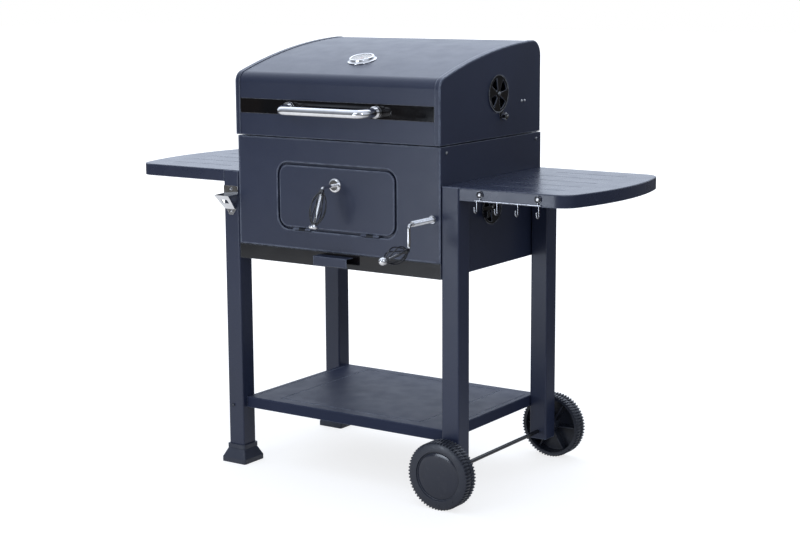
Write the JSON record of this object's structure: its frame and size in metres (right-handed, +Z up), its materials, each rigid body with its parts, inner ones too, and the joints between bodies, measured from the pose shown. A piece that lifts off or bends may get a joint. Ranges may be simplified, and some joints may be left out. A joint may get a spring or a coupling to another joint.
{
  "type": "charcoal grill cart",
  "caption": "Charcoal grill cart with a rounded hinged lid, a front charcoal door, an ash drawer, a cranked charcoal tray, side shelves, hooks and wheels.",
  "frame": {"origin": "on the floor, in the middle of the whole grill's width and depth", "axes": "+X to the grill's right as seen from the front, where the wheels and the crank are; the front faces -Y; +Z up"},
  "size_m": [1.3338, 0.7335, 1.0771],
  "materials": {
    "body_paint": "semi-matte textured powder coat, dark blue grey",
    "trim_gloss": "gloss enamel, near black",
    "chrome": "polished chrome plate",
    "zinc": "zinc plated steel",
    "black_wire": "black enamelled wire",
    "grate_enamel": "black porcelain enamel",
    "galvanised": "galvanised sheet",
    "wheel_plastic": "moulded black plastic",
    "foot_plastic": "moulded black plastic",
    "dial_face": "printed light dial",
    "glass": "clear flat glass"
  },
  "bodies": {
    "cart": {"front_panel": "body_paint", "back_panel": "body_paint", "left_panel": "body_paint", "right_panel": "body_paint", "leg_front_left": "body_paint", "leg_front_right": "body_paint", "leg_back_left": "body_paint", "leg_back_right": "body_paint", "bottom_shelf": "body_paint", "side_shelf_left": "body_paint", "side_shelf_right": "body_paint", "shelf_brackets": "body_paint", "door_frame": "body_paint", "drawer_runners": "galvanised", "grate_rails": "galvanised", "lift_brackets": "galvanised", "cooking_grate_left": "grate_enamel", "cooking_grate_right": "grate_enamel", "warming_rack": "grate_enamel", "door_hinge_mounts": "zinc", "crank_bush": "zinc", "frame_bolts": "zinc", "trim_screws": "zinc", "body_rivets": "zinc", "lid_hinge_mounts": "zinc", "axle": "black_wire", "foot_front_left": "foot_plastic", "foot_back_left": "foot_plastic", "hook_rail": "chrome", "bottle_opener": "chrome"},
    "lid": {"lid_shell": "body_paint", "lid_cap_left": "body_paint", "lid_cap_right": "body_paint", "lid_trim": "trim_gloss", "lid_handle": "chrome", "thermometer_housing": "chrome", "thermometer_dial": "dial_face", "thermometer_glass": "glass", "lid_hinge_arms": "zinc", "lid_fasteners": "zinc"},
    "lid_vent_right": {"lid_damper_right": "trim_gloss"},
    "lid_vent_left": {"lid_damper_left": "trim_gloss"},
    "body_vent_right": {"body_damper_right": "trim_gloss"},
    "body_vent_left": {"body_damper_left": "trim_gloss"},
    "door": {"door_panel": "body_paint", "door_rosette": "chrome"},
    "latch": {"door_latch": "chrome", "door_grip": "black_wire"},
    "drawer": {"ash_drawer": "galvanised", "drawer_front": "trim_gloss", "drawer_pull": "body_paint"},
    "outer_arms": {"lift_arms_outer": "zinc"},
    "inner_arms": {"lift_arms_inner": "zinc"},
    "nut": {"lift_nut": "zinc"},
    "tray": {"charcoal_tray": "grate_enamel", "charcoal_grate": "grate_enamel"},
    "crank": {"crank_spindle": "chrome", "crank_grip": "black_wire"},
    "front_wheel": {"wheel_front": "wheel_plastic"},
    "back_wheel": {"wheel_back": "wheel_plastic"}
  },
  "joints": [
    {"name": "lid_hinge", "type": "hinge", "parent": "cart", "child": "lid", "pos_m": [0, 0.31825, 0.85], "axis": [-1, 0, 0], "range_deg": [0, 90]},
    {"name": "lid_vent_turn_right", "type": "hinge", "parent": "lid", "child": "lid_vent_right", "pos_m": [0.302, 0.09825, 0.955], "axis": [1, 0, 0], "range_deg": [0, 45]},
    {"name": "lid_vent_turn_left", "type": "hinge", "parent": "lid", "child": "lid_vent_left", "pos_m": [-0.302, 0.09825, 0.955], "axis": [1, 0, 0], "range_deg": [0, 45]},
    {"name": "body_vent_turn_right", "type": "hinge", "parent": "cart", "child": "body_vent_right", "pos_m": [0.3, 0.07325, 0.686], "axis": [1, 0, 0], "range_deg": [-45, 0]},
    {"name": "body_vent_turn_left", "type": "hinge", "parent": "cart", "child": "body_vent_left", "pos_m": [-0.3, 0.07325, 0.686], "axis": [1, 0, 0], "range_deg": [-45, 0]},
    {"name": "door_hinge", "type": "hinge", "parent": "cart", "child": "door", "pos_m": [0, -0.15725, 0.625], "axis": [1, 0, 0], "range_deg": [0, 78]},
    {"name": "latch_turn", "type": "hinge", "parent": "door", "child": "latch", "pos_m": [0, -0.15575, 0.74], "axis": [0, 1, 0], "range_deg": [-90, 0]},
    {"name": "drawer_slide", "type": "slide", "parent": "cart", "child": "drawer", "axis": [0, 1, 0], "range_m": [-0.3, 0]},
    {"name": "lift_arm_turn", "type": "hinge", "parent": "cart", "child": "outer_arms", "pos_m": [0, 0.25425, 0.678], "axis": [-1, 0, 0], "range_deg": [0, 15]},
    {"name": "scissor_turn", "type": "hinge", "parent": "outer_arms", "child": "inner_arms", "pos_m": [0, 0.10653, 0.70405], "axis": [-1, 0, 0], "range_deg": [-30.5, 0.5]},
    {"name": "tray_level", "type": "hinge", "parent": "inner_arms", "child": "tray", "pos_m": [0, 0.25425, 0.73009], "axis": [-1, 0, 0], "range_deg": [-0.5, 15.5]},
    {"name": "nut_level", "type": "hinge", "parent": "inner_arms", "child": "nut", "pos_m": [0.277, -0.04119, 0.678], "axis": [-1, 0, 0], "range_deg": [-0.5, 15.5]},
    {"name": "crank_turn", "type": "hinge", "parent": "cart", "child": "crank", "pos_m": [0.277, -0.15575, 0.678], "axis": [0, 1, 0], "range_deg": [-1, 1697]},
    {"name": "wheel_front_spin", "type": "hinge", "parent": "cart", "child": "front_wheel", "pos_m": [0.32605, -0.19225, 0.082], "axis": [0, 1, 0], "continuous": true},
    {"name": "wheel_back_spin", "type": "hinge", "parent": "cart", "child": "back_wheel", "pos_m": [0.32605, 0.34675, 0.082], "axis": [0, 1, 0], "continuous": true}
  ],
  "couplings": [
    {"joint": "scissor_turn", "follows": "lift_arm_turn", "ratio": -2},
    {"joint": "tray_level", "follows": "lift_arm_turn", "ratio": 1},
    {"joint": "nut_level", "follows": "lift_arm_turn", "ratio": 1},
    {"joint": "crank_turn", "follows": "lift_arm_turn", "ratio": 113.04}
  ]
}
